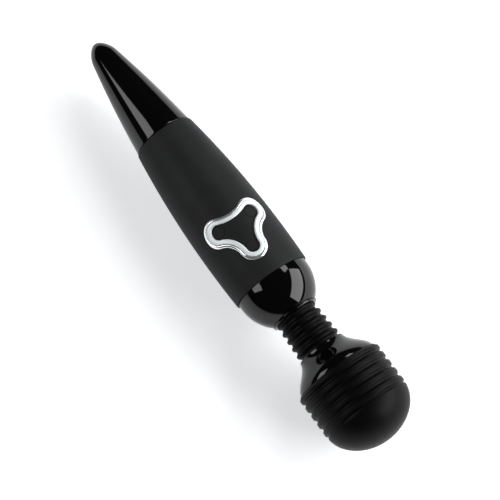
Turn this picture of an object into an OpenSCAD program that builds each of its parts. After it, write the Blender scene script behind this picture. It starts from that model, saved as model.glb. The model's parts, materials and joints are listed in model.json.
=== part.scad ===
// Cordless wand massager, lying on its side with the control pad up.
// +X runs from the tail tip to the head, +Z is up through the control pad, and the origin is on
// the surface that it lies on, under the middle of its length. Outlines are drawn as
// (x along the length, radius) and turned about the long axis.

/* [Tail cap] */
// Length of the gloss cone, from its tip to its rim
tail_len = 66.5; // [64:0.5:70]
// Radius of the cone at its rim
tail_rim_r = 16.8; // [16.6:0.1:17]
// Slope of the cone's side at its rim, radius lost per length
tail_slope = 0.114; // [0.1:0.002:0.118]
// Length of the rounded nose
nose_len = 9.8; // [8:0.2:11]
// Travel of the cap for one full turn of its thread
thread_lead = 4; // [3.6:0.1:4.2]

/* [Grip] */
// Length of the soft sleeve
sleeve_len = 98; // [97:0.5:101]
// Largest radius of the sleeve
grip_r = 22.5; // [22.3:0.1:23]
// Radius of the long curve of the grip's side
grip_curve_r = 530; // [515:5:600]
// Thickness of the sleeve
sleeve_t = 1.2; // [1:0.1:1.3]
// Wall of the hard shells under the sleeve
shell_t = 2; // [1.8:0.1:2.1]

/* [Control pad] */
// From the middle of the pad forwards to the front lobe's centre
front_lobe_x = 10; // [9.8:0.1:10.4]
// From the middle of the pad back to the two side lobes' centres
side_lobe_x = 6.2; // [6:0.1:6.4]
// From the middle line out to the side lobes' centres, measured round the grip
side_lobe_y = 10.5; // [10.3:0.1:10.7]
// Outer radius of the bezel's front lobe
front_lobe_r = 7.7; // [7.6:0.1:7.9]
// Outer radius of the bezel's side lobes
side_lobe_r = 8; // [7.8:0.1:8.2]
// Radius of the hollow curves beside the front lobe
front_waist_r = 10.5; // [10:0.1:11]
// Radius of the hollow curve between the side lobes
rear_waist_r = 15; // [14:0.1:16]
// Width of the bezel band
bezel_w = 4; // [3.6:0.1:4.2]
// Height of the bezel over the sleeve
bezel_rise = 1; // [0.6:0.1:1.2]
// Radius of each key
key_r = 3.1; // [2.8:0.1:3.2]
// Travel of each key
key_travel = 0.7; // [0.4:0.1:0.7]

/* [Shoulder and neck] */
// Length of the gloss shoulder dome
shoulder_len = 21.5; // [21:0.1:22]
// Length of ribbed neck that shows
neck_len = 21.75; // [21.5:0.05:24]
// Spacing of the neck's ribs
neck_pitch = 4.55; // [4.5:0.01:4.6]
// Radius of the neck over its first rib
neck_r = 11.8; // [11.6:0.1:12]

/* [Head] */
// Length of the gloss collar
collar_len = 14.75; // [14.5:0.05:16]
// Length of the rubber cap
cap_len = 43.2; // [43:0.1:45]
// Radius of the cap over its ridges
cap_r = 24.8; // [24.6:0.1:25.2]
// Spacing of the cap's ridges
ridge_pitch = 5.15; // [5:0.05:5.3]
// Thickness of the rubber cap
cap_t = 2.8; // [2.6:0.1:3]

/* [Power] */
// Radius of one cell
cell_r = 5.25; // [5:0.05:5.25]
// Length of one cell with its nub
cell_len = 44.5; // [43.5:0.1:44.5]
// Radius of the motor can
motor_r = 12; // [11:0.1:12.5]
// Length of the motor can
motor_len = 26; // [24:0.5:26]

/* [Hidden] */
// Gap between two pieces that move on each other, and between two that are joined
move_gap = 0.3;
fit_gap = 0.05;
// How far one solid sinks into another where the two are one piece
sink = 0.3;
far = 60;

// Stations along the length
rim_gap = 0.3;
total_len = tail_len + rim_gap + sleeve_len + shoulder_len + neck_len + collar_len + cap_len;
x_tip = -total_len / 2;
x_seam = x_tip + tail_len;
x_sleeve = x_seam + rim_gap;
x_shoulder = x_sleeve + sleeve_len;
x_mouth = x_shoulder + shoulder_len;
x_collar = x_mouth + neck_len;
x_cap = x_collar + collar_len;
x_end = x_cap + cap_len;
x_crown = x_sleeve + 74;
x_pad = x_sleeve + 71;
axis_z = cap_r;

// Tail cap, its spigot and the swivelling contact disc
tail_curve_r = 645;
tail_wall = 2.2;
spigot_r = 13.6;
spigot_bore_r = 12.6;
spigot_len = 10;
collar_bore_r = 14.6;
ridge_tall = 0.7;
x_web_rear = x_seam - 2.8;
x_web = x_seam - 0.4;
x_spigot = x_seam + spigot_len;
disc_r = spigot_bore_r - move_gap;
disc_t = 1.6;
x_disc = x_web + 0.2;
rivet_r = 1.6;
seal_r = 0.65;
x_male_thread = x_seam + 2.8;

// Handle shells
rear_collar_len = 12.2;
x_shells = x_sleeve + rear_collar_len;
shell_outer_drop = sleeve_t + fit_gap;
shell_inner_drop = sleeve_t + shell_t;
screw_seat_h = -12;
screw_posts = [[x_pad - 12.5, 13], [x_pad - 12.5, -13], [x_pad + 19.4, 13.5], [x_pad + 19.4, -13.5]];

// Battery cartridge
cell_ring_r = 6.5;
holder_r = cell_ring_r + cell_r + 0.15;
holder_end_t = 1.8;
cell_pad_t = 0.95;
holder_len = cell_len + 2 * (holder_end_t + cell_pad_t);
x_holder = x_disc + disc_t + 2.2;
x_cells = x_holder + holder_end_t + cell_pad_t;
x_holder_end = x_holder + holder_len;
bulkhead_t = 2;
front_pad_t = 0.5;
x_bulkhead = x_holder_end + front_pad_t;

// Control pad and circuit board, heights over the long axis
key_plan = [[front_lobe_x, 0], [-side_lobe_x, side_lobe_y], [-side_lobe_x, -side_lobe_y]];
// How much wider the bezel is over the outer ends of its side lobes, per width
lobe_spread = 0.27;
deck_h = 13.6;
flange_h = 12.6;
flange_t = 0.8;
flange_r = key_r + 0.9;
stem_r = 1.8;
board_h = 5.9;
board_t = 1.6;
board_top_h = board_h + board_t;
switch_size = 6;
switch_tall = 3.5;
plunger_r = 1.5;
plunger_top_h = board_top_h + switch_tall + 0.8;
board_len = 25.7;
board_w = 28;
x_board = x_pad - 9.7;
board_posts = [[x_pad + 5, 11.5], [x_pad + 5, -11.5]];

// Shoulder dome, neck and its clamps
dome_arc_r = 24;
x_dome_top = x_shoulder + 2.35;
dome_centre_r = grip_r - 1.44 - dome_arc_r;
gloss_wall = 2.2;
mouth_bore_r = 10.4;
mouth_ring_len = 4.4;
plug_r = mouth_bore_r - fit_gap;
plug_flange_r = 12.5;
plug_flange_t = 1.8;
clamp_t = 2.5;
neck_bore_r = 7.6;
neck_groove = 1.1;
neck_swell = 0.25;
rib_count = 5;
spring_r = 6.6;
spring_wire_r = 0.6;
spring_pitch = 2.4;
x_rear_clamp = x_mouth - mouth_ring_len - plug_flange_t - clamp_t;
x_front_clamp = x_collar + mouth_ring_len + plug_flange_t;
lead_r = 0.7;

// Collar and head
collar_start_r = 13.3;
collar_end_r = cap_r - 1.9;
collar_wall = 2;
cap_dome_len = 19.9;
x_dome = x_end - cap_dome_len;
ridge_count = 5;
ridge_depth = 0.9;
first_ridge = 4.15;
core_r = cap_r - 0.2 - cap_t - fit_gap;
core_wall = 1.8;
core_dome_len = cap_dome_len - cap_t - fit_gap;
x_motor = x_dome + 0.8 - motor_len;
x_bracket = x_motor + motor_len;
bracket_t = 2;
can_wall = 0.8;
shaft_r = 1;
bush_r = 3;
weight_r = 9.5;
weight_len = 7;
x_weight = x_bracket + bracket_t + 1.5;

handle_nodes = ["grip_sleeve", "handle_shell_upper", "handle_shell_lower", "rear_collar",
    "shell_screws", "control_bezel", "keypad_plate", "circuit_board", "board_parts",
    "board_screws", "tact_switches", "battery_holder", "cell_contacts", "battery_bulkhead",
    "front_contacts", "battery_leads", "motor_leads_rear", "shoulder_dome", "neck_clamp_rear"];
cell_nodes = [for (i = [1:3]) str("battery_cell_", i)];
key_names = ["power", "plus", "minus"];
key_nodes = [for (k = key_names) str("key_", k)];
plunger_nodes = [for (k = key_names) str("switch_plunger_", k)];
tail_nodes = ["tail_cap", "cap_seal", "contact_disc", "contact_leaves", "swivel_rivet"];
neck_nodes = ["flex_neck", "neck_spring", "neck_leads"];
head_nodes = ["neck_clamp_front", "head_collar", "head_core", "massage_cap", "motor_bracket",
    "motor_screws", "motor_can", "motor_end_bell", "motor_magnets", "motor_leads_front",
    "motor_shaft", "motor_rotor", "eccentric_weight"];

// ---- Outlines and shared shapes ----

function reversed(points) = [for (i = [len(points) - 1:-1:0]) points[i]];

// Radius of the sleeve at x, and a line of points a given depth under its surface
function grip_edge(x) = grip_r - pow(x - x_crown, 2) / (2 * grip_curve_r);
function grip_line(x0, x1, drop, steps = 14) =
    [for (i = [0:steps]) let (x = x0 + (x1 - x0) * i / steps) [x, grip_edge(x) - drop]];

// Radius of the tail cone at a distance from its rim, rounded off over the nose
function cone_edge(d) = tail_rim_r - tail_slope * d - d * d / (2 * tail_curve_r);
function nose_factor(d) = sqrt(1 - pow(max(0, d - (tail_len - nose_len)) / nose_len, 2));
function cone_line(d0, d1, drop, steps = 10) =
    [for (i = [0:steps]) let (d = d0 + (d1 - d0) * i / steps) [x_seam - d, cone_edge(d) - drop]];
function nose_line(steps = 8) =
    [for (i = [1:steps]) let (d = tail_len - nose_len + nose_len * sin(90 * i / steps))
        [x_seam - d, i == steps ? 0 : cone_edge(d) * nose_factor(d)]];

// The shoulder's arc, drop under its surface, from x0 to x1
function dome_edge(x) =
    dome_centre_r + sqrt(pow(dome_arc_r, 2) - pow(max(0, x - x_dome_top), 2));
function dome_line(x0, x1, drop, steps = 10) =
    [for (i = [0:steps]) let (x = x0 + (x1 - x0) * i / steps) [x, dome_edge(x) - drop]];

// The collar's flare: a smooth step from its mouth to the cap
function smooth(u) = u * u * (3 - 2 * u);
function flare_edge(x) =
    collar_start_r + (collar_end_r - collar_start_r) * smooth((x - x_collar) / collar_len);
function flare_line(x0, x1, drop, steps = 10) =
    [for (i = [0:steps]) let (x = x0 + (x1 - x0) * i / steps) [x, flare_edge(x) - drop]];

// A quarter of an ellipse that closes a dome on the axis
function dome_quarter(x0, length, radius, a0 = 0, steps = 12) =
    [for (i = [0:steps]) let (a = a0 + (90 - a0) * i / steps)
        [x0 + length * sin(a), i == steps ? 0 : radius * cos(a)]];

// The three-lobed outline, inset inwards: three lobes, and a hollow curve after each that touches
// it and the next
function lobe_centre(k, inset) =
    let (p = key_plan[k % 3]) [p[0], p[1] + sign(p[1]) * lobe_spread * (bezel_w - inset)];
function lobe_radius(k, inset) = (k % 3 == 0 ? front_lobe_r : side_lobe_r) - inset;
function waist_radius(k, inset) = (k % 3 == 1 ? rear_waist_r : front_waist_r) + inset;
function waist_centre(k, inset) =
    let (a = lobe_centre(k, inset), b = lobe_centre(k + 1, inset),
        to_a = lobe_radius(k, inset) + waist_radius(k, inset),
        to_b = lobe_radius(k + 1, inset) + waist_radius(k, inset),
        d = norm(b - a), u = (b - a) / d, along = (to_a * to_a - to_b * to_b + d * d) / (2 * d))
    a + along * u + sqrt(to_a * to_a - along * along) * [u[1], -u[0]];
function angle_of(v) = atan2(v[1], v[0]);
function arc_points(centre, r, a0, a1, cuts) =
    [for (c = cuts) let (a = a0 + (a1 - a0) * c) centre + r * [cos(a), sin(a)]];
function lobe_points(k, inset) =
    let (c = lobe_centre(k, inset), a0 = angle_of(waist_centre(k + 2, inset) - c),
        a1 = angle_of(waist_centre(k, inset) - c))
    arc_points(c, lobe_radius(k, inset), a0, a1 < a0 ? a1 + 360 : a1, [0:0.1:1]);
function waist_points(k, inset) =
    let (w = waist_centre(k, inset), a0 = angle_of(lobe_centre(k, inset) - w),
        a1 = angle_of(lobe_centre(k + 1, inset) - w))
    arc_points(w, waist_radius(k, inset), a0, a1 > a0 ? a1 - 360 : a1, [0.2:0.2:0.8]);
function trilobe(inset) =
    [for (k = [0:2]) each concat(lobe_points(k, inset), waist_points(k, inset))];

// A point of the pad's plan, with its second value measured round the grip, seen from above
function bent(p) = [p[0], grip_r * sin(p[1] / grip_r * 180 / PI)];

// Turns an (x, radius) outline about the long axis
module turned() {
    translate([0, 0, axis_z]) rotate([0, 90, 0]) rotate_extrude($fn = 96) mirror([1, -1, 0])
        children();
}

// A rod or a tube on the long axis, or beside it
module rod(x0, x1, r, y = 0, h = 0) {
    translate([x0, y, axis_z + h]) rotate([0, 90, 0]) cylinder(h = x1 - x0, r = r, $fn = 48);
}

module tube(x0, x1, r, bore) {
    difference() {
        rod(x0, x1, r);
        rod(x0 - 1, x1 + 1, bore);
    }
}

// An upright post on a plan point, between two heights over the long axis
module post(p, h0, h1, r) {
    translate([p[0], p[1], axis_z + h0]) cylinder(h = h1 - h0, r = r, $fn = 48);
}

// A block between two heights, centred on y = 0
module block(x0, x1, w, h0, h1) {
    translate([x0, -w / 2, axis_z + h0]) cube([x1 - x0, w, h1 - h0]);
}

// A closed band of the grip between two depths
module grip_band(x0, x1, outer_drop, inner_drop) {
    turned() polygon(concat(grip_line(x0, x1, outer_drop),
        reversed(grip_line(x0, x1, inner_drop))));
}

module grip_solid(x0, x1, drop) {
    turned() polygon(concat([[x0, 0]], grip_line(x0, x1, drop), [[x1, 0]]));
}

module pad_prism(inset) {
    translate([x_pad, 0, axis_z + 1]) linear_extrude(height = far)
        polygon([for (p = trilobe(inset)) bent(p)]);
}

function key_place(i) = let (p = bent(key_plan[i])) [x_pad + p[0], p[1]];

// A closed (radius, x) section swept along a helix round the long axis
module coil(x0, section, lead, steps, count) {
    n = len(section);
    points = [for (i = [0:count]) let (a = 360 * i / steps) for (c = section)
        [c[0] * cos(a), c[0] * sin(a), c[1] + lead * i / steps]];
    skin = [for (i = [0:count - 1]) for (j = [0:n - 1])
        let (a = n * i + j, b = n * i + (j + 1) % n)
        each [[a, b, b + n], [a, b + n, a + n]]];
    ends = [[for (j = [n - 1:-1:0]) j], [for (j = [0:n - 1]) n * count + j]];
    translate([x0, 0, axis_z]) rotate([0, 90, 0])
        polyhedron(points = points, faces = concat(skin, ends));
}

// A screw-thread ridge, thinner at its crest
module thread_ridge(x0, turns, r_root, r_crest, root_w = 1.4, crest_w = 0.8) {
    steps = 24;
    outwards = [[r_root, -root_w / 2], [r_crest, -crest_w / 2], [r_crest, crest_w / 2],
        [r_root, root_w / 2]];
    coil(x0, r_crest > r_root ? outwards : reversed(outwards), thread_lead, steps,
        floor(turns * steps));
}

// ---- Handle ----

module grip_sleeve() {
    ease = 0.6;
    color("#2b2c2e") difference() {
        turned() polygon(concat(
            [[x_sleeve, grip_edge(x_sleeve) - ease]],
            grip_line(x_sleeve + ease, x_shoulder - ease, 0),
            [[x_shoulder, grip_edge(x_shoulder) - ease]],
            reversed(grip_line(x_sleeve, x_shoulder, sleeve_t))));
        pad_prism(-fit_gap);
    }
}

module shell_ribs() {
    bulkhead_front = x_bulkhead + bulkhead_t;
    for (x = [x_shells + 5, x_shells + 17, x_shells + 29])
        tube(x, x + 1.4, grip_edge(x) - shell_inner_drop + sink, holder_r + move_gap);
    for (x = [x_bulkhead - 1.5, bulkhead_front + 0.1])
        tube(x, x + 1.4, grip_edge(x) - shell_inner_drop + sink, 15);
}

// Wall, ribs and screw posts of both shells, before they are split
module shell_whole() {
    grip_band(x_shells, x_shoulder, shell_outer_drop, shell_inner_drop);
    shell_ribs();
    intersection() {
        grip_solid(x_shells, x_shoulder, shell_outer_drop + sink);
        for (p = screw_posts) post(p, -far, 14.5, 2.3);
    }
}

module half_space(up) {
    translate([-far * 2, -far, axis_z + (up ? 0 : -far)]) cube([far * 4, far * 2, far]);
}

module handle_shell_upper() {
    color("#1d1e20") difference() {
        union() {
            intersection() {
                shell_whole();
                half_space(true);
            }
            intersection() {
                grip_solid(x_pad - 14, x_pad + 18, shell_inner_drop - sink);
                block(x_pad - 10, x_pad + 17.5, 2 * grip_r, deck_h, grip_r);
            }
            for (p = board_posts) post(p, board_top_h, deck_h + 1, 2);
        }
        for (i = [0:2]) {
            post(key_place(i), 0, far, key_r + 0.2);
            post(key_place(i), 0, deck_h, flange_r + 0.2);
        }
        for (p = screw_posts) post(p, -1, 8, 1.2);
        for (p = board_posts) post(p, board_top_h - 1, deck_h - 0.5, 0.85);
    }
}

module handle_shell_lower() {
    color("#1d1e20") difference() {
        intersection() {
            shell_whole();
            half_space(false);
        }
        for (p = screw_posts) {
            post(p, -far, 1, 1.25);
            post(p, -far, screw_seat_h, 2.2);
        }
    }
}

module rear_collar() {
    tenon_r = grip_edge(x_shells) - shell_inner_drop - fit_gap;
    color("#232426") {
        difference() {
            union() {
                grip_band(x_sleeve, x_shells, shell_outer_drop, shell_outer_drop + 1);
                tube(x_sleeve, x_shells + 3.6, tenon_r, collar_bore_r);
            }
            rod(x_sleeve - 1, x_shells + 5, collar_bore_r);
        }
        thread_ridge(x_male_thread + thread_lead / 2, 1.5, collar_bore_r + sink / 2,
            collar_bore_r - ridge_tall);
    }
}

module shell_screws() {
    color("silver") for (p = screw_posts) {
        post(p, screw_seat_h - 1.9, screw_seat_h, 2);
        post(p, screw_seat_h, 7, 1.15);
    }
}

module control_bezel() {
    color("#d8dadc") intersection() {
        grip_band(x_pad - 20, x_pad + 22, -bezel_rise, sleeve_t);
        difference() {
            pad_prism(0);
            pad_prism(bezel_w);
        }
    }
}

module keypad_plate() {
    color("#2a2a2b") difference() {
        intersection() {
            grip_band(x_pad - 20, x_pad + 22, 0.1, sleeve_t);
            pad_prism(bezel_w + fit_gap);
        }
        for (i = [0:2]) post(key_place(i), 0, far, key_r + 0.2);
    }
}

module key(i) {
    color("#303133") {
        intersection() {
            grip_solid(x_pad - 20, x_pad + 22, 0);
            post(key_place(i), flange_h, far, key_r);
        }
        post(key_place(i), flange_h, flange_h + flange_t, flange_r);
        post(key_place(i), plunger_top_h, flange_h, stem_r);
    }
}

module switch_plunger(i) {
    color("#b9562a") post(key_place(i), board_top_h + 2.7, plunger_top_h, plunger_r);
}

module tact_switches() {
    color("#3a3d40") for (i = [0:2]) {
        difference() {
            translate([key_place(i)[0] - switch_size / 2, key_place(i)[1] - switch_size / 2,
                axis_z + board_top_h]) cube([switch_size, switch_size, switch_tall]);
            post(key_place(i), board_top_h + 2.6 - key_travel, far, plunger_r + 0.1);
        }
    }
}

module circuit_board() {
    color("#1f6b3a") difference() {
        block(x_board, x_board + board_len, board_w, board_h, board_top_h);
        for (p = board_posts) post(p, 0, far, 1);
    }
}

module board_parts() {
    x_chip = x_board + 9;
    color("#18191b") {
        translate([x_chip, -2.5, axis_z + board_h - 1.5]) cube([6, 5, 1.5]);
        translate([x_chip + 8, 4, axis_z + board_h - 1]) cube([3, 1.6, 1]);
        translate([x_chip + 8, -6, axis_z + board_h - 1]) cube([3, 1.6, 1]);
        translate([x_chip - 6, 4, axis_z + board_h - 2.4]) cube([4, 7, 2.4]);
        post([x_chip - 4, -6], board_h - 5, board_h, 2.5);
    }
}

module board_screws() {
    color("silver") for (p = board_posts) {
        post(p, board_h - 1.2, board_h, 1.8);
        post(p, board_h, deck_h - 1, 0.8);
    }
}

// ---- Battery ----

module battery_holder() {
    x_front_end = x_holder_end - holder_end_t;
    color("#26282b") {
        rod(x_holder, x_holder + holder_end_t, holder_r);
        rod(x_front_end, x_holder_end, holder_r);
        for (a = [30, 150, 270]) translate([x_holder, 0, axis_z]) rotate([a, 0, 0])
            translate([1, 0, -0.25]) cube([holder_len - 2, holder_r - 0.4, 0.5]);
    }
}

function cell_place(i) = cell_ring_r * [cos(90 + 120 * i), sin(90 + 120 * i)];

module cell_contacts() {
    color("gold") for (i = [0:2]) {
        rod(x_holder + holder_end_t, x_cells, 3.4, cell_place(i)[0], cell_place(i)[1]);
        rod(x_cells + cell_len, x_cells + cell_len + cell_pad_t, 3.4, cell_place(i)[0],
            cell_place(i)[1]);
    }
}

// A cell with its nub towards the head, or turned round
module battery_cell(i) {
    y = cell_place(i - 1)[0];
    h = cell_place(i - 1)[1];
    nub = 1.2;
    flipped = i == 2;
    color("#b48a3c") {
        rod(x_cells + (flipped ? nub : 0), x_cells + cell_len - (flipped ? 0 : nub), cell_r, y, h);
        rod(flipped ? x_cells : x_cells + cell_len - nub,
            flipped ? x_cells + nub : x_cells + cell_len, 1.9, y, h);
    }
}

module battery_bulkhead() {
    color("#26282b") difference() {
        rod(x_bulkhead, x_bulkhead + bulkhead_t, 17.2);
        for (y = [-5, 5]) rod(x_bulkhead - 1, x_bulkhead + bulkhead_t + 1, 0.8, y, 4.9);
    }
}

module front_contacts() {
    color("gold") for (y = [-5, 5]) rod(x_holder_end, x_bulkhead, 2.5, y, -2);
}

module battery_leads() {
    color("crimson") for (y = [-5, 5]) {
        rod(x_bulkhead, x_board + 1.6, lead_r, y, 4.9);
        post([x_board + 1.6, y], 4.9, board_h, lead_r);
    }
}

// ---- Tail ----

module tail_cap() {
    rim_ease = 0.4;
    groove_r = spigot_r - 0.4;
    groove_x = x_seam + 0.4;
    groove_end = groove_x + 2 * seal_r + 0.1;
    hollow_end = tail_len - nose_len - 2;
    hole_r = rivet_r + fit_gap;
    color("#0b0b0c") {
        turned() polygon(concat(
            [[x_seam, spigot_r], [x_seam, tail_rim_r - rim_ease]],
            cone_line(rim_ease, tail_len - nose_len, 0), nose_line(),
            [[x_seam - hollow_end - 2, 0]],
            reversed(cone_line(x_seam - x_web_rear, hollow_end, tail_wall)),
            [[x_web_rear, hole_r], [x_web, hole_r], [x_web, spigot_bore_r],
            [x_spigot, spigot_bore_r], [x_spigot, spigot_r], [groove_end, spigot_r],
            [groove_end, groove_r], [groove_x, groove_r], [groove_x, spigot_r]]));
        thread_ridge(x_male_thread, 1.5, spigot_r - sink, spigot_r + ridge_tall);
    }
}

module cap_seal() {
    color("#5a1f1a") turned() translate([x_seam + 0.45 + seal_r, spigot_r - 0.4 + seal_r])
        circle(r = seal_r, $fn = 24);
}

module contact_disc() {
    color("#1f6b3a") tube(x_disc, x_disc + disc_t, disc_r, rivet_r + fit_gap / 2);
}

module contact_leaves() {
    x_face = x_disc + disc_t;
    leaf_t = 0.3;
    color("gold") for (y = [-7, 7]) {
        translate([x_face, y - 1.5, axis_z - 4]) cube([leaf_t, 3, 3.2]);
        translate([x_face, y - 1.5, axis_z - 1.1]) rotate([0, 27, 0]) cube([leaf_t, 3, 4.2]);
    }
}

module swivel_rivet() {
    color("silver") {
        rod(x_web_rear - 1.2, x_web_rear - 0.2, 3.2);
        rod(x_web_rear - 0.3, x_disc + disc_t + 0.1, rivet_r);
        rod(x_disc + disc_t, x_disc + disc_t + 0.8, 2.6);
    }
}

// ---- Shoulder and neck ----

module shoulder_dome() {
    tenon_r = grip_edge(x_shoulder) - shell_inner_drop - fit_gap;
    tenon_bore_r = tenon_r - 1.8;
    x_tenon = x_shoulder - 3.8;
    x_ring = x_mouth - mouth_ring_len;
    lip = 0.4;
    color("#0b0b0c") turned() polygon(concat(
        [[x_tenon, tenon_bore_r], [x_tenon, tenon_r], [x_shoulder, tenon_r]],
        dome_line(x_shoulder, x_mouth - lip, 0),
        [[x_mouth, dome_edge(x_mouth - lip) - lip], [x_mouth, mouth_bore_r],
        [x_ring, mouth_bore_r]],
        reversed(dome_line(x_shoulder + 2, x_ring, gloss_wall)),
        [[x_shoulder, tenon_bore_r]]));
}

module neck_clamp_rear() {
    color("#6f7276") tube(x_rear_clamp, x_rear_clamp + clamp_t, 14.6, neck_bore_r + 0.6);
}

module neck_clamp_front() {
    color("#6f7276") tube(x_front_clamp, x_front_clamp + clamp_t, 14.2, neck_bore_r + 0.6);
}

// Ribbed rubber tube with a plug and a flange at each end
module flex_neck() {
    x_in = x_mouth - mouth_ring_len - plug_flange_t;
    x_out = x_front_clamp;
    steps = 6;
    ribs = [for (i = [0:rib_count - 1]) for (j = [0:steps - 1])
        let (x = x_mouth + 0.4 + neck_pitch * (i - 0.5 + j / steps)) if (x > x_mouth)
            [x, neck_r + neck_swell * i - neck_groove * pow(2 * j / steps - 1, 2)]];
    color("#1b1c1e") turned() polygon(concat(
        [[x_in, neck_bore_r], [x_in, plug_flange_r], [x_in + plug_flange_t, plug_flange_r],
        [x_in + plug_flange_t, plug_r], [x_mouth, plug_r], [x_mouth, neck_r]],
        ribs,
        [[x_collar, neck_r - neck_groove + neck_swell * rib_count], [x_collar, plug_r],
        [x_out - plug_flange_t, plug_r], [x_out - plug_flange_t, plug_flange_r],
        [x_out, plug_flange_r], [x_out, neck_bore_r]]));
}

// Close-wound wire that carries the head and lets it bend
module neck_spring() {
    steps = 12;
    x0 = x_rear_clamp + spring_wire_r;
    x1 = x_front_clamp + clamp_t - spring_wire_r;
    wire = [for (b = [0:60:300]) [spring_r + spring_wire_r * cos(b), spring_wire_r * sin(b)]];
    color("silver") coil(x0, wire, spring_pitch, steps, floor((x1 - x0) / spring_pitch * steps));
}

module lead_pair(x0, x1) {
    for (y = [-1.5, 1.5]) rod(x0, x1, lead_r, y);
}

module motor_leads_rear() {
    x_solder = x_board + board_len - 2;
    color("crimson") {
        lead_pair(x_solder, x_rear_clamp);
        for (y = [-1.5, 1.5]) post([x_solder, y], 0, board_h, lead_r);
    }
}

module neck_leads() {
    color("crimson") lead_pair(x_rear_clamp, x_front_clamp + clamp_t);
}

module motor_leads_front() {
    color("crimson") lead_pair(x_front_clamp + clamp_t, x_motor);
}

// ---- Head ----

module head_collar() {
    x_ring = x_collar + mouth_ring_len;
    tenon_r = core_r - core_wall - fit_gap;
    tenon_bore_r = tenon_r - 1.6;
    x_tenon = x_cap + 4;
    lip = 0.4;
    color("#0b0b0c") turned() polygon(concat(
        [[x_collar, mouth_bore_r], [x_collar, collar_start_r - lip]],
        flare_line(x_collar + lip, x_cap, 0),
        [[x_cap, tenon_r], [x_tenon, tenon_r], [x_tenon, tenon_bore_r], [x_cap, tenon_bore_r]],
        reversed(flare_line(x_ring, x_cap - 3, collar_wall)),
        [[x_ring, mouth_bore_r]]));
}

module head_core() {
    bore_r = core_r - core_wall;
    color("#3a3c40") turned() polygon(concat(
        [[x_cap, bore_r], [x_cap, core_r]],
        dome_quarter(x_dome, core_dome_len, core_r),
        reversed(dome_quarter(x_dome, core_dome_len - core_wall, bore_r))));
}

// Rubber cap: rounded ridges, the first one narrower, then a smooth dome
module massage_cap() {
    steps = 6;
    starts = concat([x_cap], [for (i = [0:ridge_count - 1]) x_cap + first_ridge + i * ridge_pitch]);
    ridges = [for (i = [0:ridge_count - 1]) for (j = [0:steps - 1])
        [starts[i] + (starts[i + 1] - starts[i]) * j / steps,
            cap_r - ridge_depth * pow(2 * j / steps - 1, 2)]];
    dome_start = starts[ridge_count];
    dome_a0 = asin((dome_start + 0.7 - x_dome) / cap_dome_len);
    color("#1b1c1e") turned() polygon(concat(
        [[x_cap, core_r + fit_gap]], ridges, [[dome_start, cap_r - ridge_depth - 0.1]],
        dome_quarter(x_dome, cap_dome_len, cap_r - 0.2, dome_a0),
        reversed(dome_quarter(x_dome, core_dome_len + fit_gap, core_r + fit_gap))));
}

module motor_bracket() {
    color("#4a4d52") difference() {
        rod(x_bracket, x_bracket + bracket_t, core_r - core_wall - 0.6);
        rod(x_bracket - 1, x_bracket + bracket_t + 1, bush_r + 0.1);
        for (y = [-8, 8]) rod(x_bracket - 1, x_bracket + bracket_t + 1, 0.95, y);
    }
}

module motor_screws() {
    color("silver") for (y = [-8, 8]) {
        rod(x_bracket + bracket_t, x_bracket + bracket_t + 1, 1.6, y);
        rod(x_bracket - 2, x_bracket + bracket_t, 0.85, y);
    }
}

module motor_can() {
    color("#a9adb1") difference() {
        union() {
            rod(x_motor + 1.5, x_bracket, motor_r);
            rod(x_bracket - 1, x_bracket + 1.5, bush_r);
        }
        rod(x_motor, x_bracket - 1.2, motor_r - can_wall);
        rod(x_motor, x_bracket + 2, shaft_r + fit_gap);
        for (y = [-8, 8]) rod(x_bracket - 3, x_bracket + 1, 0.9, y);
    }
}

module motor_end_bell() {
    color("#e4e1d8") difference() {
        rod(x_motor, x_motor + 1.5, motor_r);
        rod(x_motor - 1, x_motor + 3, shaft_r + fit_gap);
    }
}

module motor_magnets() {
    color("#3c3f44") tube(x_motor + 4, x_bracket - 4, motor_r - can_wall - fit_gap, 9.6);
}

module motor_shaft() {
    color("silver") rod(x_motor + 0.3, x_weight + weight_len, shaft_r);
}

module motor_rotor() {
    color("#b5652b") difference() {
        union() {
            rod(x_motor + 5, x_bracket - 5, 9);
            rod(x_motor + 2.2, x_motor + 5, 3.5);
        }
        rod(x_motor, x_bracket, shaft_r);
    }
}

// Half a disc, heavy side down at rest, with a hub round the shaft
module eccentric_weight() {
    color("#8d9195") difference() {
        union() {
            intersection() {
                rod(x_weight, x_weight + weight_len, weight_r);
                block(x_weight - 1, x_weight + weight_len + 1, 2 * weight_r, -weight_r, 0);
            }
            rod(x_weight, x_weight + weight_len, 3);
        }
        rod(x_weight - 1, x_weight + weight_len + 1, shaft_r);
    }
}

grip_sleeve();
handle_shell_upper();
handle_shell_lower();
rear_collar();
shell_screws();
control_bezel();
keypad_plate();
circuit_board();
board_parts();
board_screws();
tact_switches();
battery_holder();
cell_contacts();
battery_bulkhead();
front_contacts();
battery_leads();
motor_leads_rear();
shoulder_dome();
neck_clamp_rear();
for (i = [1:3]) battery_cell(i);
for (i = [0:2]) key(i);
for (i = [0:2]) switch_plunger(i);
tail_cap();
cap_seal();
contact_disc();
contact_leaves();
swivel_rivet();
flex_neck();
neck_spring();
neck_leads();
neck_clamp_front();
head_collar();
head_core();
massage_cap();
motor_bracket();
motor_screws();
motor_can();
motor_end_bell();
motor_magnets();
motor_leads_front();
motor_shaft();
motor_rotor();
eccentric_weight();
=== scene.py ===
"""Looks of the cordless wand massager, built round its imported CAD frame.

Outlines are (x along the length, radius) in millimetres and are turned about the long axis.
Places come from the frame's own boxes, and meshes are scaled to metres as they are made.
"""

import json
import math

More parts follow.
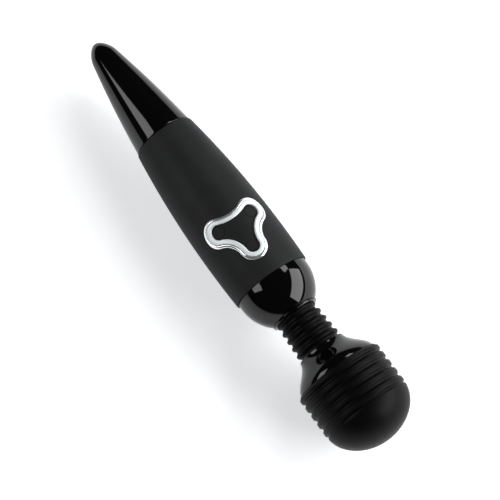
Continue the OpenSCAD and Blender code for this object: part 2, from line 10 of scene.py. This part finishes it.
import bmesh
import bpy
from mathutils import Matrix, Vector


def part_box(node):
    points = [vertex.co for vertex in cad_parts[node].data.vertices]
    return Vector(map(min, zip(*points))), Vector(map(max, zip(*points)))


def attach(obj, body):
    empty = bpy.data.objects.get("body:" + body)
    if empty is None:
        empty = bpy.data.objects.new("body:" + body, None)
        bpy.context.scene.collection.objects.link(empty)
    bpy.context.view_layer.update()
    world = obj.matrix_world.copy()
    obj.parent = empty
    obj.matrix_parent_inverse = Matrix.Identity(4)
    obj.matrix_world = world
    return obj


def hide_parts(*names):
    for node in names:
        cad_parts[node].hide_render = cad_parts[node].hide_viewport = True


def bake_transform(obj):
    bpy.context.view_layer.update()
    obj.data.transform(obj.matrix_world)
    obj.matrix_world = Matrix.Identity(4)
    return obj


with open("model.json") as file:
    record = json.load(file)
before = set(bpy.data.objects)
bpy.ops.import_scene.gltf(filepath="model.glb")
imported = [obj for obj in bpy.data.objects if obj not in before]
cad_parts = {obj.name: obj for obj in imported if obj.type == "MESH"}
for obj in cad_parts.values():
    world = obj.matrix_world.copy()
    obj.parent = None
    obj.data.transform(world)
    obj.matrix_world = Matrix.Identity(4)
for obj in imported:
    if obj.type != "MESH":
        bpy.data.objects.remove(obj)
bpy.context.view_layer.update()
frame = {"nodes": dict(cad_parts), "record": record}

MM = 0.001


def span(node, axis=0):
    """A node's lowest and highest place along an axis, in millimetres."""
    low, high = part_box(node)
    return low[axis] / MM, high[axis] / MM


# ---- Stations along the length, in millimetres ----
X_TIP, X_SPIGOT = span("tail_cap")
X_SLEEVE, X_SHOULDER = span("grip_sleeve")
X_MOUTH = span("shoulder_dome")[1]
X_COLLAR = span("head_collar")[0]
X_CAP, X_END = span("massage_cap")
AXIS_Z = sum(span("massage_cap", 2)) / 2
RIM_GAP = 0.3
X_SEAM = X_SLEEVE - RIM_GAP
X_PAD = X_SLEEVE + 71
X_CROWN = X_SLEEVE + 74

TAIL_LEN = X_SEAM - X_TIP
NOSE_LEN = 9.8
GRIP_R = 22.5
GRIP_CURVE_R = 530.0
SLEEVE_T = 1.2
CAP_R = AXIS_Z
CAP_T = 2.8
THREAD_LEAD = 4.0
PLUG_BORE_R = 10.4
PLUG_DEPTH = 4.4

# Three-lobed outline of the control pad: the front lobe, then the two side lobes
LOBES = ((10.0, 0.0), (-6.2, 10.5), (-6.2, -10.5))
LOBE_RADII = (7.7, 8.0, 8.0)
WAIST_RADII = (10.5, 15.0, 10.5)
LOBE_SPREAD = 0.27
BEZEL_W = 4.0

# The ribbed neck is flexible; here it is made as two straight halves that meet in a groove
RIB_PITCH = 4.55
RIB_COUNT = 5
NECK_R = 11.8
NECK_GROOVE = 1.45
NECK_SWELL = 0.25
NECK_LAND, NECK_FLOOR = 0.12, 0.8
FIRST_RIB = X_MOUTH + 0.4
X_SPLIT = FIRST_RIB + 2.5 * RIB_PITCH
NECK_BORE_R = 7.6

AROUND = 192


# ---- Mesh helpers ----
def place(x, y, z):
    """Millimetres from the long axis, as a point of the row frame in metres."""
    return Vector((x * MM, y * MM, (z + AXIS_Z) * MM))


def new_piece(name, bm, material, body=None, replaces=(), slot=None):
    """A finished mesh becomes a piece with a material, on its body, in place of CAD nodes."""
    bmesh.ops.recalc_face_normals(bm, faces=bm.faces)
    mesh = bpy.data.meshes.new(name)
    bm.to_mesh(mesh)
    bm.free()
    piece = bpy.data.objects.new(name, mesh)
    bpy.context.scene.collection.objects.link(piece)
    mesh.materials.append(material)
    if replaces:
        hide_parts(*replaces)
    if body:
        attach(piece, body)
    return piece


def rounded(points, steps=5):
    """An outline whose points may carry a third value, the radius that rounds that corner."""
    out = []
    count = len(points)
    for i, point in enumerate(points):
        here = Vector(point[:2])
        fillet = point[2] if len(point) > 2 else 0
        before = Vector(points[i - 1][:2]) - here
        after = Vector(points[(i + 1) % count][:2]) - here
        if not fillet or before.length < 1e-6 or after.length < 1e-6:
            out.append(here)
            continue
        reach = min(fillet, 0.48 * before.length, 0.48 * after.length)
        start = here + before.normalized() * reach
        end = here + after.normalized() * reach
        for k in range(steps + 1):
            t = k / steps
            out.append(start * (1 - t) ** 2 + here * 2 * t * (1 - t) + end * t**2)
    return out


def lathe(bm, outline, around=AROUND, sharp_deg=32):
    """Turns a closed (x, radius) outline about the long axis; points on the axis become poles."""
    rings = []
    for x, r in outline:
        if r < 1e-4:
            rings.append([bm.verts.new(place(x, 0, 0))])
            continue
        turn = [2 * math.pi * k / around for k in range(around)]
        rings.append([bm.verts.new(place(x, r * math.sin(a), r * math.cos(a))) for a in turn])
    count = len(outline)
    for i in range(count):
        here, there = rings[i], rings[(i + 1) % count]
        if len(here) == 1 and len(there) == 1:
            continue
        for k in range(around):
            n = (k + 1) % around
            corners = []
            for ring, first, second in ((here, k, n), (there, n, k)):
                corners += [ring[0]] if len(ring) == 1 else [ring[first], ring[second]]
            face = bm.faces.new(corners)
            face.smooth = True
    sharp = math.cos(math.radians(sharp_deg))
    for i in range(count):
        if len(rings[i]) == 1:
            continue
        here = Vector(outline[i])
        before = (here - Vector(outline[i - 1])).normalized()
        after = (Vector(outline[(i + 1) % count]) - here).normalized()
        if before.dot(after) < sharp:
            for k in range(around):
                edge = bm.edges.get((rings[i][k], rings[i][(k + 1) % around]))
                if edge:
                    edge.smooth = False
    return bm


def turned(name, points, material, **facts):
    return new_piece(name, lathe(bmesh.new(), rounded(points)), material, **facts)


def sweep(bm, sections, closed=False):
    """Joins loops of points, one after the other, into a tube with flat ends."""
    loops = [[bm.verts.new(p) for p in loop] for loop in sections]
    count = len(loops[0])
    pairs = list(zip(loops, loops[1:] + loops[:1])) if closed else list(zip(loops, loops[1:]))
    for here, there in pairs:
        for k in range(count):
            n = (k + 1) % count
            bm.faces.new((here[k], here[n], there[n], there[k])).smooth = True
    if not closed:
        bm.faces.new(loops[0])
        bm.faces.new(reversed(loops[-1]))
    return bm


def helix(bm, x0, turns, lead, section, steps=40):
    """A (radius, x) section swept along a right-handed helix round the long axis."""
    loops = []
    for i in range(int(turns * steps) + 1):
        a = 2 * math.pi * i / steps
        x = x0 + lead * i / steps
        loops.append([place(x + dx, r * math.sin(a), -r * math.cos(a)) for r, dx in section])
    return sweep(bm, loops)


def steps_between(x0, x1, count):
    return [x0 + (x1 - x0) * i / count for i in range(count + 1)]


# ---- Outlines ----
def grip_edge(x):
    """Radius of the barrelled grip."""
    return GRIP_R - (x - X_CROWN) ** 2 / (2 * GRIP_CURVE_R)


def cone_edge(d):
    """Radius of the tail cone at a distance from its rim."""
    rim_r, slope, curve_r = 16.8, 0.114, 645
    r = rim_r - slope * d - d * d / (2 * curve_r)
    over = max(0.0, d - (TAIL_LEN - NOSE_LEN)) / NOSE_LEN
    return r * math.sqrt(max(0.0, 1 - over * over))


def dome_edge(x):
    """Radius of the shoulder dome: straight at first, then an arc."""
    arc, straight, step = 24.0, 2.35, 1.44
    return GRIP_R - step - arc + math.sqrt(arc**2 - max(0.0, x - X_SHOULDER - straight) ** 2)


def flare_edge(x):
    """Radius of the collar, in an S from the neck out to the cap."""
    throat_r, step = 13.3, 1.9
    u = (x - X_COLLAR) / (X_CAP - X_COLLAR)
    return throat_r + (CAP_R - step - throat_r) * u * u * (3 - 2 * u)


def lobe_centre(k, inset):
    """Centre of a lobe; the side lobes spread a little as the outline moves inwards."""
    x, y = LOBES[k % 3]
    return Vector((x, y + math.copysign(LOBE_SPREAD * (BEZEL_W - inset), y) * (y != 0)))


def lobe_radius(k, inset):
    return LOBE_RADII[k % 3] - inset


def waist_centre(k, inset):
    """Centre of the hollow curve that touches lobe k and the next one from outside."""
    a, b = lobe_centre(k, inset), lobe_centre(k + 1, inset)
    waist = WAIST_RADII[k % 3] + inset
    to_a = lobe_radius(k, inset) + waist
    to_b = lobe_radius(k + 1, inset) + waist
    d = (b - a).length
    u = (b - a) / d
    along = (to_a**2 - to_b**2 + d * d) / (2 * d)
    return a + along * u + math.sqrt(to_a**2 - along**2) * Vector((u.y, -u.x))


def arc(centre, radius, towards, until, steps, turn):
    """Points round a centre between two directions, turning one way, without the last one."""
    a0 = math.atan2(towards.y, towards.x)
    a1 = math.atan2(until.y, until.x)
    opening = (a1 - a0) % (2 * math.pi)
    if turn < 0:
        opening -= 2 * math.pi
    angles = [a0 + opening * i / steps for i in range(steps)]
    return [centre + radius * Vector((math.cos(a), math.sin(a))) for a in angles]


def trilobe(inset, lobe_steps=30, waist_steps=18):
    """The pad's three-lobed outline in plan, moved inwards by inset."""
    points = []
    for k in range(3):
        lobe, following = lobe_centre(k, inset), lobe_centre(k + 1, inset)
        before, after = waist_centre(k + 2, inset), waist_centre(k, inset)
        points += arc(lobe, lobe_radius(k, inset), before - lobe, after - lobe, lobe_steps, 1)
        radius = WAIST_RADII[k] + inset
        points += arc(after, radius, lobe - after, following - after, waist_steps, -1)
    return points


def on_grip(point, rise):
    """A plan point of the pad wrapped round the grip, at a height over the sleeve."""
    x = X_PAD + point[0]
    turn = point[1] / GRIP_R
    r = grip_edge(x) + rise
    return place(x, r * math.sin(turn), r * math.cos(turn))


# ---- Materials ----
def shader(name):
    material = bpy.data.materials.new(name)
    material.use_nodes = True
    tree = material.node_tree
    return material, tree, tree.nodes["Principled BSDF"]


def noise(tree, scale, detail=3.0, rough=0.55):
    where = tree.nodes.new("ShaderNodeTexCoord")
    node = tree.nodes.new("ShaderNodeTexNoise")
    node.inputs["Scale"].default_value = scale
    node.inputs["Detail"].default_value = detail
    node.inputs["Roughness"].default_value = rough
    tree.links.new(where.outputs["Object"], node.inputs["Vector"])
    return node


def vary_colour(tree, bsdf, source, low, high, start=0.35, end=0.65):
    ramp = tree.nodes.new("ShaderNodeValToRGB")
    ramp.color_ramp.elements[0].position = start
    ramp.color_ramp.elements[1].position = end
    ramp.color_ramp.elements[0].color = (*low, 1)
    ramp.color_ramp.elements[1].color = (*high, 1)
    tree.links.new(source.outputs["Fac"], ramp.inputs["Fac"])
    tree.links.new(ramp.outputs["Color"], bsdf.inputs["Base Color"])


def vary_roughness(tree, bsdf, source, low, high):
    span_node = tree.nodes.new("ShaderNodeMapRange")
    span_node.inputs["To Min"].default_value = low
    span_node.inputs["To Max"].default_value = high
    tree.links.new(source.outputs["Fac"], span_node.inputs["Value"])
    tree.links.new(span_node.outputs["Result"], bsdf.inputs["Roughness"])


def bump(tree, bsdf, source, strength, distance):
    node = tree.nodes.new("ShaderNodeBump")
    node.inputs["Strength"].default_value = strength
    node.inputs["Distance"].default_value = distance
    tree.links.new(source.outputs["Fac"], node.inputs["Height"])
    tree.links.new(node.outputs["Normal"], bsdf.inputs["Normal"])


def moulded(name, colour, rough, spread=0.06, grain=2600, grain_deep=0.00002, strength=0.25,
            tint=0.12, metallic=0.0, **sockets):
    """A moulded or plated surface: slight blotches, uneven polish and a fine grain."""
    material, tree, bsdf = shader(name)
    blotch = noise(tree, 55, 4)
    low = [c * (1 - tint) for c in colour]
    high = [min(1.0, c * (1 + tint)) for c in colour]
    vary_colour(tree, bsdf, blotch, low, high)
    vary_roughness(tree, bsdf, noise(tree, 180, 5), max(0.02, rough - spread), rough + spread)
    bump(tree, bsdf, noise(tree, grain, 2), strength, grain_deep)
    bsdf.inputs["Metallic"].default_value = metallic
    for socket, value in sockets.items():
        bsdf.inputs[socket.replace("_", " ")].default_value = value
    return material


def brushed(name, colour, rough, stretch=(8, 900, 900)):
    """Drawn or turned metal: fine lines along the length."""
    material, tree, bsdf = shader(name)
    where = tree.nodes.new("ShaderNodeTexCoord")
    scale = tree.nodes.new("ShaderNodeMapping")
    scale.inputs["Scale"].default_value = stretch
    lines = tree.nodes.new("ShaderNodeTexNoise")
    lines.inputs["Scale"].default_value = 3
    lines.inputs["Detail"].default_value = 4
    tree.links.new(where.outputs["Object"], scale.inputs["Vector"])
    tree.links.new(scale.outputs["Vector"], lines.inputs["Vector"])
    vary_colour(tree, bsdf, lines, [c * 0.82 for c in colour], colour)
    vary_roughness(tree, bsdf, lines, rough, rough + 0.14)
    bump(tree, bsdf, lines, 0.2, 0.00002)
    bsdf.inputs["Metallic"].default_value = 1.0
    return material


SOFT_GRAIN = {"spread": 0.05, "grain_deep": 0.00003, "strength": 0.35, "Specular_IOR_Level": 0.1}
SOFT_TOUCH = moulded("soft_touch", (0.0130, 0.0135, 0.0140), 0.55, grain=3200, **SOFT_GRAIN)
PAD_SKIN = moulded("pad_skin", (0.0120, 0.0125, 0.0130), 0.58, grain=3000, **SOFT_GRAIN)
KEY_SKIN = moulded("key_skin", (0.0130, 0.0134, 0.0138), 0.56, grain=3000, **SOFT_GRAIN)
GLOSS = moulded("gloss_black", (0.0010, 0.0010, 0.0010), 0.06, spread=0.02, grain=60,
                grain_deep=0.00001, strength=0.05, IOR=1.37)
RUBBER = moulded("moulded_rubber", (0.0020, 0.0020, 0.0019), 0.42, spread=0.05, grain=1800,
                 grain_deep=0.00003, strength=0.3, Specular_IOR_Level=0.065)
CHROME = moulded("bezel_chrome", (0.88, 0.90, 0.91), 0.16, spread=0.04, grain=500,
                 grain_deep=0.00001, strength=0.06, tint=0.03, metallic=0.85)
SATIN = moulded("bezel_satin", (0.74, 0.79, 0.80), 0.38, spread=0.05, grain=900,
                grain_deep=0.00001, strength=0.15, tint=0.04, metallic=0.12)
INNER = moulded("inner_plastic", (0.045, 0.046, 0.05), 0.5)
BOARD = moulded("solder_mask", (0.012, 0.13, 0.045), 0.32, grain=900, strength=0.3, tint=0.25)
EPOXY = moulded("component_epoxy", (0.018, 0.018, 0.02), 0.42)
SEAL = moulded("seal_rubber", (0.22, 0.035, 0.02), 0.45)
PLUNGER = moulded("switch_plunger", (0.5, 0.16, 0.05), 0.4)
LEAD = moulded("lead_insulation", (0.42, 0.02, 0.02), 0.38)
CELL = moulded("cell_jacket", (0.5, 0.33, 0.1), 0.28, spread=0.05, grain=400,
               grain_deep=0.00001, strength=0.1, tint=0.15, metallic=0.7)
BRASS = brushed("contact_brass", (0.78, 0.6, 0.28), 0.22)
STEEL = brushed("bright_steel", (0.66, 0.67, 0.68), 0.22)
CAN_STEEL = brushed("motor_steel", (0.5, 0.51, 0.52), 0.3)
COPPER = brushed("winding_copper", (0.62, 0.27, 0.1), 0.3, stretch=(900, 8, 8))
IVORY = moulded("end_bell_ivory", (0.7, 0.66, 0.58), 0.4)


# ---- Outer pieces ----
def tail_cone():
    """The gloss battery cap: cone, web, pocket, seal groove and thread, all one moulding."""
    wall = 2.2
    spigot_r, bore_r, pin_hole_r = 13.6, 12.6, 1.65
    web_back, web_front = X_SEAM - 2.8, X_SEAM - 0.4
    groove_start, groove_end = X_SEAM + 0.4, X_SEAM + 1.8
    groove_r = spigot_r - 0.4
    nose_steps = 28
    hollow = TAIL_LEN - NOSE_LEN - 2
    outside = [(X_SEAM - d, cone_edge(d)) for d in steps_between(1.0, TAIL_LEN - NOSE_LEN, 40)]
    nose = []
    for i in range(1, nose_steps + 1):
        d = TAIL_LEN - NOSE_LEN * (1 - math.sin(math.pi / 2 * i / nose_steps))
        nose.append((X_SEAM - d, 0 if i == nose_steps else cone_edge(d)))
    inside = [(X_SEAM - d, cone_edge(d) - wall) for d in steps_between(hollow, 2.8, 12)]
    points = (
        [(X_SEAM, spigot_r), (X_SEAM, cone_edge(0), 0.55)] + outside + nose
        + [(X_SEAM - hollow - 2, 0)] + inside
        + [(web_back, pin_hole_r), (web_front, pin_hole_r), (web_front, bore_r),
           (X_SPIGOT, bore_r, 0.3), (X_SPIGOT, spigot_r, 0.4), (groove_end, spigot_r),
           (groove_end, groove_r), (groove_start, groove_r), (groove_start, spigot_r)]
    )
    bm = lathe(bmesh.new(), rounded(points))
    ridge = [(13.3, -0.7), (14.3, -0.38), (14.3, 0.38), (13.3, 0.7)]
    helix(bm, X_SEAM + 2.8, 1.5, THREAD_LEAD, ridge)
    new_piece("tail_cone", bm, GLOSS, "tail_cap", ["tail_cap"], "gloss_black")


def grip():
    """The soft sleeve, eased at both ends, with a window under the bezel."""
    ease, ease_r = 1.6, 0.95
    window_inset, window_floor, window_top = 0.6, 8, 30
    outside = [(x, grip_edge(x)) for x in steps_between(X_SLEEVE + ease, X_SHOULDER - ease, 72)]
    inside = [(x, grip_edge(x) - SLEEVE_T) for x in steps_between(X_SHOULDER, X_SLEEVE, 40)]
    points = (
        [(X_SLEEVE, grip_edge(X_SLEEVE), ease_r)] + outside
        + [(X_SHOULDER, grip_edge(X_SHOULDER), ease_r)] + inside
    )
    sleeve = turned("soft_sleeve", points, SOFT_TOUCH)
    bm = bmesh.new()
    outline = [(p[0], GRIP_R * math.sin(p[1] / GRIP_R)) for p in trilobe(window_inset)]
    heights = (window_floor, window_top)
    sweep(bm, [[place(X_PAD + x, y, z) for x, y in outline] for z in heights])
    cutter = new_piece("window_cutter", bm, SOFT_TOUCH)
    cut = sleeve.modifiers.new("window", "BOOLEAN")
    cut.operation = "DIFFERENCE"
    cut.solver = "EXACT"
    cut.object = cutter
    ready = sleeve.evaluated_get(bpy.context.evaluated_depsgraph_get())
    mesh = bpy.data.meshes.new_from_object(ready)
    sleeve.modifiers.clear()
    sleeve.data = mesh
    bpy.data.objects.remove(cutter)
    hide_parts("grip_sleeve")
    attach(sleeve, "handle")


def ring(name, section, material):
    """A ring that follows the pad's outline, from (inset, height over the sleeve) points."""
    loops = [[on_grip(p, rise) for p in trilobe(inset)] for inset, rise in section]
    bm = sweep(bmesh.new(), loops, closed=True)
    new_piece(name, bm, material, "handle", ["control_bezel"], "bezel_chrome")


def bezel():
    """The plated ring: a bright rolled rim, a fine groove and a satin inner band."""
    foot = -1.15
    ring("bezel_rim", [
        (0.0, foot), (0.0, 0.02), (0.12, 0.2), (0.4, 0.42), (0.8, 0.62), (1.15, 0.74),
        (1.35, 0.74), (1.44, 0.62), (1.46, 0.3), (1.46, foot),
    ], CHROME)
    ring("bezel_band", [
        (1.68, foot), (1.68, 0.5), (1.74, 0.76), (1.92, 0.92), (2.2, 0.98), (2.6, 1.0),
        (3.2, 1.0), (3.6, 0.96), (3.85, 0.84), (3.97, 0.6), (BEZEL_W, 0.3), (BEZEL_W, foot),
    ], SATIN)


def shoulder():
    """The gloss dome in front of the grip, with a turned lip round the neck."""
    throat = X_MOUTH - PLUG_DEPTH
    wall = 2.2
    tenon_len, tenon_t = 3.8, 1.8
    tenon = grip_edge(X_SHOULDER) - SLEEVE_T - 2.05
    outside = [(x, dome_edge(x)) for x in steps_between(X_SHOULDER + 0.6, X_MOUTH - 1.7, 40)]
    inside = [(x, dome_edge(x) - wall) for x in steps_between(throat, X_SHOULDER + 2, 16)]
    lip_r = dome_edge(X_MOUTH - 1.5)
    points = (
        [(X_SHOULDER - tenon_len, tenon - tenon_t), (X_SHOULDER - tenon_len, tenon),
         (X_SHOULDER, tenon), (X_SHOULDER, dome_edge(X_SHOULDER), 0.3)] + outside
        + [(X_MOUTH - 1.45, lip_r - 0.2), (X_MOUTH - 1.35, lip_r + 0.15, 0.3),
           (X_MOUTH - 0.2, lip_r + 0.05, 0.5), (X_MOUTH, PLUG_BORE_R, 0.2),
           (throat, PLUG_BORE_R)]
        + inside + [(X_SHOULDER, tenon - tenon_t)]
    )
    turned("shoulder_shell", points, GLOSS, body="handle", replaces=["shoulder_dome"],
           slot="gloss_black")


def collar():
    """The gloss flare under the head."""
    throat = X_COLLAR + PLUG_DEPTH
    wall = 2
    tenon_len, tenon_t = 4, 1.6
    tenon = CAP_R - 0.2 - CAP_T - 0.05 - 1.85
    outside = [(x, flare_edge(x)) for x in steps_between(X_COLLAR + 1.2, X_CAP, 40)]
    inside = [(x, flare_edge(x) - wall) for x in steps_between(X_CAP - 3, throat, 16)]
    points = (
        [(X_COLLAR, PLUG_BORE_R, 0.2), (X_COLLAR, flare_edge(X_COLLAR), 0.8)] + outside
        + [(X_CAP, tenon), (X_CAP + tenon_len, tenon), (X_CAP + tenon_len, tenon - tenon_t),
           (X_CAP, tenon - tenon_t)]
        + inside + [(throat, PLUG_BORE_R)]
    )
    turned("collar_shell", points, GLOSS, body="head", replaces=["head_collar"],
           slot="gloss_black")


def rib_depth(u, land, floor, deep):
    """Depth under a rib's crest at a share u of the pitch: a crowned land, then a round groove."""
    off = abs(2 * u - 1)
    t = min(1.0, max(0.0, (off - land) / (floor - land)))
    crown = 0.08
    return deep * (crown * off * off + (1 - crown) * t * t * (3 - 2 * t))


def head_cap():
    """The rubber cap: five crowned ridges with round grooves, then the smooth dome."""
    deep = 1.1
    fine = 32
    land, floor = 0.36, 0.86
    first_ridge, pitch = 4.15, 5.15
    inner_r = CAP_R - CAP_T - 0.2
    starts = [X_CAP] + [X_CAP + first_ridge + pitch * i for i in range(5)]
    points = [(X_CAP, inner_r)]
    for start, end in zip(starts, starts[1:]):
        for i in range(fine):
            u = i / fine
            depth = rib_depth(u, land, floor, deep)
            points.append((start + (end - start) * u, CAP_R - depth))
    dome_len = 19.9
    centre = X_END - dome_len
    first = math.asin((starts[-1] + 0.9 - centre) / dome_len)
    points.append((starts[-1], CAP_R - deep))
    points.append((starts[-1] + 0.25, CAP_R - 0.55))
    dome_steps, inner_steps = 36, 12
    for i in range(dome_steps + 1):
        a = first + (math.pi / 2 - first) * i / dome_steps
        r = 0 if i == dome_steps else (CAP_R - 0.2) * math.cos(a)
        points.append((centre + dome_len * math.sin(a), r))
    inner_len = dome_len - CAP_T
    for i in range(inner_steps + 1):
        a = math.pi / 2 * (1 - i / inner_steps)
        r = 0 if i == 0 else inner_r * math.cos(a)
        points.append((centre + inner_len * math.sin(a), r))
    turned("ribbed_cap", points[:-1] + [(centre, inner_r)], RUBBER, body="head",
           replaces=["massage_cap"], slot="rubber_black")


# ---- The neck, in two straight halves that are baked in place ----
def rib_outline(x0, x1, fine=32):
    """The neck's ribs between two stations, each a little larger than the one behind it."""
    points = []
    for i in range(RIB_COUNT):
        for j in range(fine + (i == RIB_COUNT - 1)):
            u = j / fine
            x = FIRST_RIB + RIB_PITCH * (i - 0.5 + u)
            if x0 - 1e-6 <= x <= x1 + 1e-6:
                depth = rib_depth(u, NECK_LAND, NECK_FLOOR, NECK_GROOVE)
                points.append((x, NECK_R + NECK_SWELL * i - depth))
    return points


def bend(piece):
    """Bakes a half's placement into its mesh; the rear half runs from the handle to the neck's
    middle, the front half from there to the head, and neither is bent.
    """
    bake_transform(piece)


def neck():
    """The ribbed neck, with the plug and flange that each end is clamped by."""
    plug_r, flange_r, flange_t = 10.35, 12.5, 1.8
    x_in, x_out = span("flex_neck")
    bore = [(x, NECK_BORE_R) for x in steps_between(X_SPLIT, x_in, 18)]
    rear = (
        [(x_in, flange_r), (x_in + flange_t, flange_r), (x_in + flange_t, plug_r),
         (X_MOUTH, plug_r), (X_MOUTH, NECK_R - 0.1)] + rib_outline(X_MOUTH + 0.05, X_SPLIT) + bore
    )
    bore = [(x, NECK_BORE_R) for x in steps_between(x_out, X_SPLIT, 18)]
    front = (
        rib_outline(X_SPLIT, X_COLLAR)
        + [(X_COLLAR, NECK_R - NECK_GROOVE + NECK_SWELL * RIB_COUNT), (X_COLLAR, plug_r),
           (x_out - flange_t, plug_r), (x_out - flange_t, flange_r), (x_out, flange_r)] + bore
    )
    for half, points in (("rear", rear), ("front", front)):
        piece = turned(f"neck_bellows_{half}", points, RUBBER, replaces=["flex_neck"],
                       slot="rubber_black")
        bend(piece)


def neck_inside():
    """The spring and the two motor leads inside the neck."""
    x_in, x_out = span("neck_leads")
    wire_r, coil_r, pitch = 0.6, 6.6, 2.4
    lead_r, lead_y = 0.7, 1.5
    ring = [math.radians(45 * k) for k in range(8)]
    wire = [(coil_r + wire_r * math.cos(a), wire_r * math.sin(a)) for a in ring]
    halves = {"rear": (x_in, X_SPLIT), "front": (X_SPLIT, x_out)}
    for half, (x0, x1) in halves.items():
        turns = (x1 - x0 - 2 * wire_r) / pitch
        bm = helix(bmesh.new(), x0 + wire_r, turns, pitch, wire, 24)
        coil = new_piece(f"neck_coil_{half}", bm, STEEL, None, ["neck_spring"], "bright_steel")
        bend(coil)
        bm = bmesh.new()
        for y in (-lead_y, lead_y):
            sweep(bm, [
                [place(x, y + lead_r * math.sin(a), lead_r * math.cos(a)) for a in ring]
                for x in steps_between(x0, x1, 24)
            ])
        leads = new_piece(f"neck_wires_{half}", bm, LEAD, None, ["neck_leads"], "lead_red")
        bend(leads)


# ---- Carried-over CAD nodes keep their shape and get their finish ----
FINISHES = {
    "soft_touch_black": PAD_SKIN,
    "key_black": KEY_SKIN,
    "gloss_black": GLOSS,
    "rubber_black": RUBBER,
    "bezel_chrome": CHROME,
    "seal_rubber": SEAL,
    "inner_plastic": INNER,
    "bright_steel": STEEL,
    "cell_jacket": CELL,
    "contact_brass": BRASS,
    "board_green": BOARD,
    "component_black": EPOXY,
    "plunger_orange": PLUNGER,
    "lead_red": LEAD,
    "motor_steel": CAN_STEEL,
    "winding_copper": COPPER,
    "bell_ivory": IVORY,
}


def finish_cad_nodes():
    """Each CAD node gets the procedural material of its slot."""
    slots = {s["node"]: s["material_slot"] for s in frame["record"]["subparts"]}
    for name, node in frame["nodes"].items():
        material = FINISHES[slots[name]]
        for held in node.material_slots:
            held.material = material


# ---- Studio ----
def softbox(name, azimuth, elevation, distance, width, height, power):
    """An area light in a direction seen from the object, facing it."""
    a, e = math.radians(azimuth), math.radians(elevation)
    towards = Vector((math.sin(a) * math.cos(e), -math.cos(a) * math.cos(e), math.sin(e)))
    light = bpy.data.lights.new(name, "AREA")
    light.shape = "RECTANGLE"
    light.size = width
    light.size_y = height
    light.energy = power
    lamp = bpy.data.objects.new(name, light)
    lamp.location = Vector((0, 0, AXIS_Z * MM)) + towards * distance
    lamp.rotation_euler = towards.to_track_quat("Z", "Y").to_euler()
    bpy.context.scene.collection.objects.link(lamp)


def studio():
    """A plain pale floor, three softboxes and a faint even fill."""
    mesh = bpy.data.meshes.new("floor")
    bm = bmesh.new()
    bmesh.ops.create_grid(bm, x_segments=1, y_segments=1, size=4)
    bm.to_mesh(mesh)
    bm.free()
    floor = bpy.data.objects.new("floor", mesh)
    paper = moulded("floor_paper", (0.88, 0.88, 0.885), 0.7, spread=0.03, grain=700,
                    grain_deep=0.00003, strength=0.1, tint=0.01,
                    Emission_Color=(0.95, 0.97, 1.0, 1.0), Emission_Strength=0.46)
    mesh.materials.append(paper)
    bpy.context.scene.collection.objects.link(floor)

    away = 1.2
    softbox("softbox_left", -30, 37, away, width=0.85, height=0.55, power=7)
    softbox("softbox_right", 146, 26, away, width=1.65, height=0.78, power=26)
    softbox("softbox_far", -155, 45, away, width=0.5, height=0.35, power=3.5)

    world = bpy.data.worlds.new("studio")
    world.use_nodes = True
    tree = world.node_tree
    background = tree.nodes["Background"]
    background.inputs["Color"].default_value = (1, 1, 1, 1)
    background.inputs["Strength"].default_value = 0.04
    bpy.context.scene.world = world
    bpy.context.scene.view_settings.view_transform = "Standard"


def camera():
    """The product shot's view: from high above, a little to one side of the pad."""
    azimuth = math.radians(54.5)
    elevation = math.radians(73.8)
    distance = 0.8527
    back = Vector((
        math.sin(azimuth) * math.cos(elevation),
        -math.cos(azimuth) * math.cos(elevation),
        math.sin(elevation),
    ))
    aim = place(X_PAD + 5.95, 1.05, 0)
    lens = bpy.data.cameras.new("camera")
    lens.lens = 117.2
    lens.sensor_width = 36
    lens.dof.use_dof = False
    eye = bpy.data.objects.new("camera", lens)
    eye.location = aim + back * distance
    eye.rotation_euler = back.to_track_quat("Z", "Y").to_euler()
    bpy.context.scene.collection.objects.link(eye)
    bpy.context.scene.camera = eye


camera()
studio()
finish_cad_nodes()
tail_cone()
grip()
bezel()
shoulder()
neck()
neck_inside()
collar()
head_cap()
